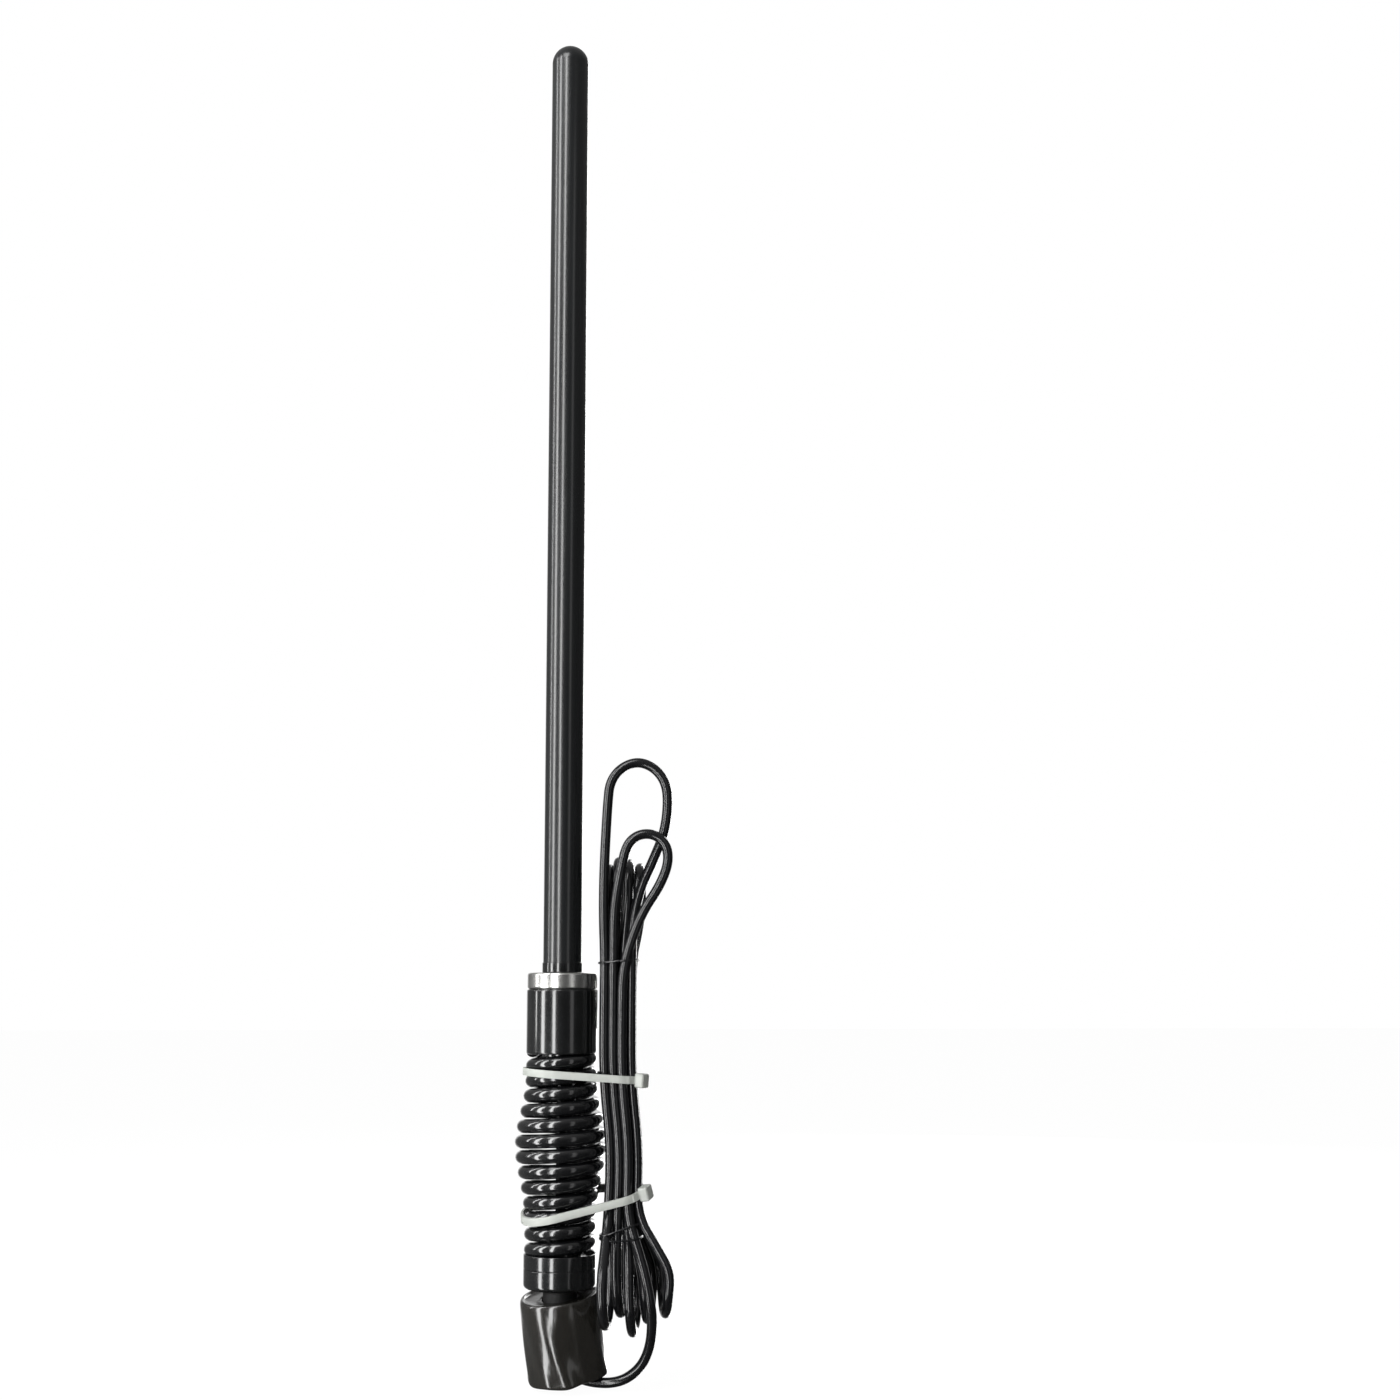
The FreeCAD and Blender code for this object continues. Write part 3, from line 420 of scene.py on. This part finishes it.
# Coax lead: one round cable from the gland in the stud's end, out under the boot and folded into a
# hank beside the spring, with two loops left standing above it. Points in mm, in order along it.
LEAD_DIAMETER = 4.8 * MM
LEAD_ROUTE = [
    (0, 0, -19), (0, 0, -30.4), (4.4, 0, -38.2), (12.6, -0.3, -43.1), (27.5, -1.5, -43.8),
    (37.6, -5.5, -37.4), (43.2, -11, -27.4), (45, -17, -13.5), (43.2, -20.5, 0.5), (39.6, -19.8, 15),
    (32.4, -16.6, 36), (33.4, -16.8, 66), (29.8, -16.4, 98), (29.8, -16.4, 130), (30.4, -16.6, 152),
    (36.2, -16.8, 170), (41, -17.4, 180), (47.4, -18.2, 189.4), (51.8, -18.6, 199.6),
    (52, -18.6, 207.4), (49.2, -18.6, 212.6), (44.4, -18.6, 215.4), (38.8, -18.6, 215.4),
    (34, -18.6, 212.6), (31.2, -18.6, 207.6), (29.6, -18.4, 200), (27.4, -17.4, 189), (25.8, -16, 177),
    (25.6, -13.7, 156), (25.4, -13.9, 130), (25.4, -13.9, 98), (29.1, -14.3, 66), (28.1, -14.1, 36),
    (27.6, -17.5, 9.5), (28.4, -17.5, -2.5), (29.2, -9, -11), (30, 3, -11), (30.8, 11.5, -2.5),
    (31.6, 11.5, 9.5), (30.6, 5.6, 20), (28.1, -9.1, 36), (29.1, -9.3, 66), (25.4, -8.9, 98),
    (25.4, -8.9, 130), (25.6, -8.7, 156), (26.8, -8, 184.4), (27, -8, 195.6), (27.1, -0.1, 203.5),
    (27.3, 11.1, 203.5), (27.4, 19, 195.6), (27.6, 19, 184.4), (28.8, 10.5, 171), (30, -1.3, 156),
    (29.8, -1.5, 130), (29.8, -1.5, 98), (33.4, -1.9, 66), (32.4, -1.7, 36), (40.4, 8.2, 18.5),
    (44.6, 15, 6), (43.7, 15, -6), (42.8, 6.5, -14.5), (42, -5.5, -14.5), (41.1, -14, -6),
    (40.2, -14, 6), (37.8, -12, 18), (32.4, -6.6, 36), (33.4, -6.8, 66), (29.8, -6.4, 98),
    (29.8, -6.4, 130), (30, -6.2, 156), (31, 9, 170.5), (32.4, 18.5, 183.4), (32.4, 18.5, 194.6),
    (32.4, 10.6, 202.5), (32.4, -0.6, 202.5), (32.4, -8.5, 194.6), (32.4, -8.5, 183.4),
    (30, -11.2, 156), (29.8, -11.4, 130), (29.8, -11.4, 98), (33.4, -11.8, 66), (32.4, -11.6, 36),
    (33.6, -17.2, 14), (33.6, -17, 0.5), (34.3, -17, -11.5), (35, -8.5, -20), (35.8, 3.5, -20),
    (36.5, 12, -11.5), (37.2, 12, 0.5), (37, 5, 13), (36.8, -9.1, 36), (37.8, -9.3, 66),
    (34.1, -8.9, 98), (34.1, -8.9, 130), (34.3, -8.7, 156), (37.4, -8, 181.4), (37.5, -8, 192.6),
    (37.6, -0.1, 200.5), (37.8, 11.1, 200.5), (37.9, 19, 192.6), (38, 19, 181.4), (36.6, 10.5, 168),
    (34.3, -3.7, 156), (34.1, -3.9, 130), (34.1, -3.9, 98), (37.8, -4.3, 66), (36.8, -4.1, 36),
    (44.2, 5.4, 19), (47.6, 10, 9.5), (48.7, 10, -2.5), (49.8, 1.5, -11), (51, -10.5, -11),
    (52.1, -19, -2.5), (53.2, -19, 9.5), (46.8, -18.2, 20.4), (36.8, -14.1, 36), (37.8, -14.3, 66),
    (34.1, -13.9, 98), (34.1, -13.9, 130), (34.3, -13.7, 156), (34.6, -12.2, 172), (38, -11.8, 189),
    (44.4, -12.4, 202.5), (50.4, -13, 217), (52, -13, 233), (50.2, -13, 242.4), (44.4, -13, 249),
    (36.4, -13, 251.6), (28.4, -13, 248.2), (23.4, -13, 241.4), (22.4, -13, 232), (21.5, -13.2, 215),
    (20.7, -13.6, 196), (20.6, -14, 176), (21.3, -11.2, 156), (21.1, -11.4, 130), (21.1, -11.4, 98),
    (24.8, -11.8, 66), (23.8, -11.6, 36), (22.6, -27, 18), (21.6, -36.5, 7), (22.3, -36.5, -5),
    (23, -28, -13.5), (23.6, -16, -13.5), (24.3, -7.5, -5), (25, -7.5, 7), (23.8, -6.6, 36),
    (24.8, -6.8, 66), (21.1, -6.4, 98), (21.1, -6.4, 130), (21.3, -6.2, 156), (22.4, -8.4, 181.7),
    (22.6, -8.4, 192.3), (22.7, -0.8, 199.9), (22.9, 9.8, 199.9), (23, 17.4, 192.3),
    (23.2, 17.4, 181.7), (23.6, 10.5, 171), (23.6, 8.4, 163), (23.6, 8.4, 155),
]


def routed(name, points, diameter, detail):
    """A round cable along a smooth spline: returns its mesh tube and the line that it follows."""
    curve = bpy.data.curves.new(f"{name}_line", "CURVE")
    curve.dimensions = "3D"
    curve.resolution_u = detail
    spline = curve.splines.new("NURBS")
    spline.points.add(len(points) - 1)
    for point, place_mm in zip(spline.points, points):
        point.co = (*(Vector(place_mm) * MM), 1)
    spline.order_u = 3
    spline.use_endpoint_u = True
    made = fresh(curve, name)
    bare = bpy.data.meshes.new_from_object(made.evaluated_get(bpy.context.evaluated_depsgraph_get()))
    along = [vertex.co.copy() for vertex in bare.vertices]
    bpy.data.meshes.remove(bare)
    curve.bevel_depth = diameter / 2
    curve.bevel_resolution = 4
    curve.use_fill_caps = True
    bpy.ops.object.convert(target="MESH")
    smooth(made, 60)
    return made, along


lead, lead_line = routed("coax_lead_cable", LEAD_ROUTE, LEAD_DIAMETER, 6)
lead.data.materials.append(jacket)
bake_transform(lead)
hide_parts("coax_lead", "coax_hank", "coax_loop_large", "coax_loop_small", "coax_tail")

# Connector on the lead's end: a shrunk sleeve, a knurled coupling nut and a threaded nose round its
# insulator and pin. The metal is bright plated and the whole hangs behind the hank.
PLUG_AT = Vector((23.6, 8.4, 0)) * MM
KNURL = [(4.5, 133.2), (4.85, 133.2), (5.1, 133.6), (5.1, 144.4), (4.85, 144.8), (4.5, 144.8)]
KNURL_TEETH, KNURL_DEPTH, KNURL_FROM = 36, 0.28 * MM, 5 * MM
NOSE_BOTTOM, NOSE_TOP, NOSE_RADIUS = 123 * MM, 130 * MM, 3.85 * MM
NOSE_PITCH, NOSE_WIRE, NOSE_STEPS = 1.0 * MM, 0.5 * MM, 32
for node, name, finish, slot in (
    ("connector_sleeve", "plug_sleeve", soft_pvc, "soft_boot"),
    ("connector_body", "plug_body", chrome, "bright_ring"),
    ("connector_insulator", "plug_bush", acetal, "insulation"),
    ("connector_pin", "plug_pin", brass, "brass_rod"),
):
    piece = copied(node, name)
    smooth(piece, 35)
    piece.data.materials.append(finish)
    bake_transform(piece)
    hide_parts(node)

knurl = turned("plug_knurl", KNURL, 4 * KNURL_TEETH, closed=True)
for vertex in knurl.data.vertices:
    x, y, z = vertex.co
    if math.hypot(x, y) > KNURL_FROM:
        cut = KNURL_DEPTH * (0.5 + 0.5 * math.cos(KNURL_TEETH * math.atan2(y, x)))
        vertex.co = Vector((x, y, z)) - Vector((x, y, 0)).normalized() * cut
nose_ridge = helix(NOSE_BOTTOM, NOSE_TOP, NOSE_PITCH, lambda z: NOSE_RADIUS, NOSE_STEPS)
nose = wound("plug_thread", nose_ridge, NOSE_WIRE, 2)
for piece in (knurl, nose):
    piece.data.transform(Matrix.Translation(PLUG_AT))
    smooth(piece, 50)
    piece.data.materials.append(chrome)
    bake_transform(piece)

# Cable ties: two moulded white nylon straps round the spring and the hank, each drawn up and cut
# off at its head. Nylon is milky and lets a little light through.
STRAP_CLEAR, HEAD_REACH = 0.15 * MM, 6.8
nylon, shader, place = finish_named("natural_nylon")
shader.inputs["IOR"].default_value = 1.53
shader.inputs["Subsurface Weight"].default_value = 0.25
shader.inputs["Subsurface Radius"].default_value = (0.002, 0.002, 0.002)
cloud = add(nylon, "ShaderNodeTexNoise", [(place, "Vector")], Scale=180.0, Detail=3.0)
tone = add(nylon, "ShaderNodeValToRGB", [(cloud.outputs["Fac"], "Fac")])
tone.color_ramp.elements[0].color = shade("#9A9D98")
tone.color_ramp.elements[1].color = shade("#AFB2AD")
gloss = add(nylon, "ShaderNodeMapRange", [(cloud.outputs["Fac"], "Value")], To_Min=0.34, To_Max=0.5)
join(nylon, shader, tone, gloss)


def drawn_tight(strap, at, lean, spring_grip, hank, hank_grip, hank_ease, head_at):
    """Draws a flat strap in on the coils and the strands that it holds; sizes in mm."""
    frame_in = Matrix.Translation(Vector(at) * MM) @ lean
    toward, far = math.atan2(hank[1], hank[0]), math.hypot(*hank)
    spread = math.acos((spring_grip - hank_grip) / far)
    head = Vector((hank[0] + hank_grip * math.cos(head_at), hank[1] + hank_grip * math.sin(head_at), 0))
    back = frame_in.inverted()
    for vertex in strap.data.vertices:
        u, v, w = (back @ vertex.co) / MM
        off = (math.atan2(v, u) - toward + math.pi) % (2 * math.pi) - math.pi
        way = toward + math.copysign(max(abs(off), spread), off)
        face = frame_in @ (Vector((spring_grip * math.cos(way), spring_grip * math.sin(way), w)) * MM)
        slack = math.hypot(face.x, face.y) - coil_radius(face.z) - WIRE / 2 - STRAP_CLEAR
        along = u * math.cos(toward) + v * math.sin(toward) - spring_grip * math.cos(spread)
        share = min(max(along / (far + (hank_grip - spring_grip) * math.cos(spread)), 0), 1)
        share = share * share * (3 - 2 * share)
        turn = math.atan2(v - hank[1], u - hank[0])
        turn = (turn - toward + math.pi) % (2 * math.pi) - math.pi
        turn = toward + math.copysign(min(abs(turn), spread), turn) if share == 1 else way
        if (Vector((u, v, 0)) - head).length < HEAD_REACH:
            turn = head_at
        pull = slack * (1 - share) + hank_ease * MM * share
        vertex.co -= (lean @ Vector((math.cos(turn), math.sin(turn), 0))) * pull


UPPER_LEAN = Matrix.Rotation(math.radians(4.0), 4, "Y")
LOWER_LEAN = Matrix.Rotation(math.radians(11.5), 4, "X") @ Matrix.Rotation(math.radians(-14.5), 4, "Y")
# Each row: node, piece, place, lean, grip on the spring, middle of the hank, grip and ease there, and
# the bearing of the head.
TIES = (
    ("upper_cable_tie", "upper_tie_strap", (0, 0, 100.5), UPPER_LEAN,
     18.2, (28.3, -8.9), 10.6, 0.9, -0.5),
    ("lower_cable_tie", "lower_tie_strap", (0.35, 0.5, 38.3), LOWER_LEAN,
     20.3, (30.7, -9.2), 11.9, 1.9, -0.45),
)
for node, name, *hold in TIES:
    strap = copied(node, name)
    drawn_tight(strap, *hold)
    edge = strap.modifiers.new("edge", "BEVEL")
    edge.width = 0.25 * MM
    edge.segments = 2
    edge.limit_method = "ANGLE"
    edge.angle_limit = math.radians(50)
    bpy.ops.object.modifier_apply(modifier="edge")
    smooth(strap, 40)
    strap.data.materials.append(nylon)
    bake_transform(strap)
    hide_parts(node)

# Twist ties: thin plastic coated wire drawn round the strands above and below the cable ties, with
# its two ends turned together behind. Points in mm; the lower one goes round twice.
TWIST_WIRE = 1.1 * MM
UPPER_WIRE = [
    (28.4, 9.4, 157), (29.6, 6.0, 156), (28.6, 3.1, 154.4), (24.0, -0.6, 154), (19.6, -4.0, 153.6),
    (18.2, -8.8, 153.5), (18.8, -13.2, 153.6), (24.2, -17.0, 154), (31.0, -19.9, 154.6), (36.0, -17.4, 155),
    (37.7, -12.0, 155.2), (37.7, -4.0, 155), (36.0, 1.2, 154.8), (31.0, 3.4, 154.6), (28.6, 6.2, 155.6),
    (30.0, 9.0, 157.4),
]
LOWER_WIRE = [
    (30.2, 8.6, 23), (31.4, 5.4, 24), (29.6, 2.8, 25), (24.4, -2.6, 25.2), (20.8, -8.0, 25.4),
    (19.8, -15.0, 25.2), (20.4, -21.2, 24.8), (24.6, -23.2, 24.2), (31.0, -22.4, 24.2), (37.0, -21.4, 24.8),
    (39.4, -16.0, 25.2), (40.0, -8.0, 25.6), (39.4, -1.6, 26), (33.0, 2.4, 26.4), (27.6, 1.4, 26.4),
    (22.6, -4.6, 26.4), (20.2, -12.0, 26.4), (20.0, -20.0, 26.4), (24.0, -23.2, 27.2), (31.0, -22.4, 29.6),
    (37.0, -21.2, 31.6), (39.2, -15.0, 31.4), (39.2, -7.0, 30), (38.6, -1.2, 28), (33.4, 2.6, 26.6),
    (30.4, 5.6, 24.4), (32.0, 8.4, 23.2),
]
for node, name, points in (
    ("upper_twist_tie", "upper_wire_tie", UPPER_WIRE),
    ("lower_twist_tie", "lower_wire_tie", LOWER_WIRE),
):
    ring, _ = routed(name, points, TWIST_WIRE, 6)
    ring.data.materials.append(jacket)
    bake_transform(ring)
    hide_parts(node)

# Studio: a flat pale floor, two tall soft boxes at the front and left, a weak fill at the right, one
# strip behind that only reaches the back, and the camera low in front, tipped up.
FLOOR_SIZE, FLOOR_Z, FLOOR_FRONT, FLOOR_WHITE = 8, -0.0475, 0.12, 0.93
bpy.ops.object.select_all(action="DESELECT")
bpy.ops.mesh.primitive_plane_add(size=FLOOR_SIZE, location=(0, 0, 0))
floor = bpy.context.object
floor.name = floor.data.name = "floor"
floor.data.transform(Matrix.Translation((0, FLOOR_SIZE / 2 - FLOOR_FRONT, FLOOR_Z)))
paper, shader, _ = finish_named("backdrop_paper")
shader.inputs["Base Color"].default_value = shade("#F4F4F2")
shader.inputs["Roughness"].default_value = 0.9
path = add(paper, "ShaderNodeLightPath")
share = add(paper, "ShaderNodeMath", [(path.outputs["Is Camera Ray"], 0)], operation="MULTIPLY")
share.inputs[1].default_value = FLOOR_WHITE
white = add(paper, "ShaderNodeEmission", Color=(1, 1, 1, 1), Strength=1.04)
mixed = add(paper, "ShaderNodeMixShader", [(share.outputs["Value"], 0), (shader.outputs["BSDF"], 1),
                                           (white.outputs["Emission"], 2)])
surface = paper.node_tree.nodes["Material Output"].inputs["Surface"]
paper.node_tree.links.new(mixed.outputs["Shader"], surface)
floor.data.materials.append(paper)
floor.visible_glossy = False

# Room: dim, a little lighter at the left and overhead. The wall behind is white to the camera and in
# the gloss.
world = bpy.data.worlds.new("studio")
bpy.context.scene.world = world
world.use_nodes = True
sky = world.node_tree.nodes["Background"]
path = add(world, "ShaderNodeLightPath")
view = add(world, "ShaderNodeTexCoord")
split = add(world, "ShaderNodeSeparateXYZ", [(view.outputs["Generated"], 0)])
side = add(world, "ShaderNodeMapRange", [(split.outputs["X"], "Value")], From_Min=-1.0, From_Max=0.2,
           To_Min=0.22, To_Max=0.05)
lift = add(world, "ShaderNodeMapRange", [(split.outputs["Z"], "Value")], From_Min=0.1, From_Max=0.9,
           To_Min=0.0, To_Max=0.25)
depth = add(world, "ShaderNodeMath", [(side.outputs["Result"], 0), (lift.outputs["Result"], 1)],
            operation="ADD")
white = add(world, "ShaderNodeMath", [(path.outputs["Is Camera Ray"], 0),
                                      (path.outputs["Is Transmission Ray"], 1)], operation="MAXIMUM")
wall = add(world, "ShaderNodeMapRange", [(split.outputs["Y"], "Value")], From_Min=0.80, From_Max=0.94)
mirrored = add(world, "ShaderNodeMath", [(path.outputs["Is Glossy Ray"], 0), (wall.outputs["Result"], 1)],
               operation="MULTIPLY")
shown = add(world, "ShaderNodeMath", [(white.outputs["Value"], 0), (mirrored.outputs["Value"], 1)],
            operation="MAXIMUM")
level = add(world, "ShaderNodeMath", [(shown.outputs["Value"], 0), (depth.outputs["Value"], 1)],
            operation="MAXIMUM")
world.node_tree.links.new(level.outputs["Value"], sky.inputs["Strength"])
sky.inputs["Color"].default_value = (1, 1, 1, 1)


LAMP_AIM = 0.3


def lamp(name, azimuth, distance, height, wide, tall, power):
    """A soft box that faces the antenna, at an azimuth in degrees left of the camera's side."""
    data = bpy.data.lights.new(name, "AREA")
    data.shape = "RECTANGLE"
    data.size, data.size_y, data.energy = wide, tall, power
    made = bpy.data.objects.new(name, data)
    bpy.context.scene.collection.objects.link(made)
    a = math.radians(azimuth)
    made.location = (-distance * math.sin(a), -distance * math.cos(a), height)
    made.rotation_euler = (Vector((0, 0, LAMP_AIM)) - made.location).to_track_quat("-Z", "Y").to_euler()


lamp("left_box", 60, 1.4, 0.3, 0.28, 2.6, 26)
lamp("side_strip", 88, 1.3, 0.7, 0.10, 1.3, 5)
lamp("front_strip", 22, 1.6, 0.3, 0.26, 2.6, 24)
lamp("right_fill", -36, 1.6, 0.3, 0.30, 2.0, 1.6)
lamp("top_box", 25, 1.2, 1.6, 0.8, 0.6, 9)
lamp("back_strip", -163, 1.6, 0.3, 0.22, 2.6, 12)

LENS, SENSOR, PITCH_UP, ROLL = 48.6, 36, 8.65, 0.106
CAMERA_AT = (0.0676, -0.9353, 0.1417)
camera_data = bpy.data.cameras.new("camera")
camera_data.lens = LENS
camera_data.sensor_width = SENSOR
camera = bpy.data.objects.new("camera", camera_data)
bpy.context.scene.collection.objects.link(camera)
camera.location = CAMERA_AT
camera.rotation_euler = (Matrix.Rotation(math.radians(90 + PITCH_UP), 4, "X")
                         @ Matrix.Rotation(math.radians(-ROLL), 4, "Z")).to_euler()
bpy.context.scene.camera = camera
bpy.context.scene.view_settings.view_transform = "Standard"
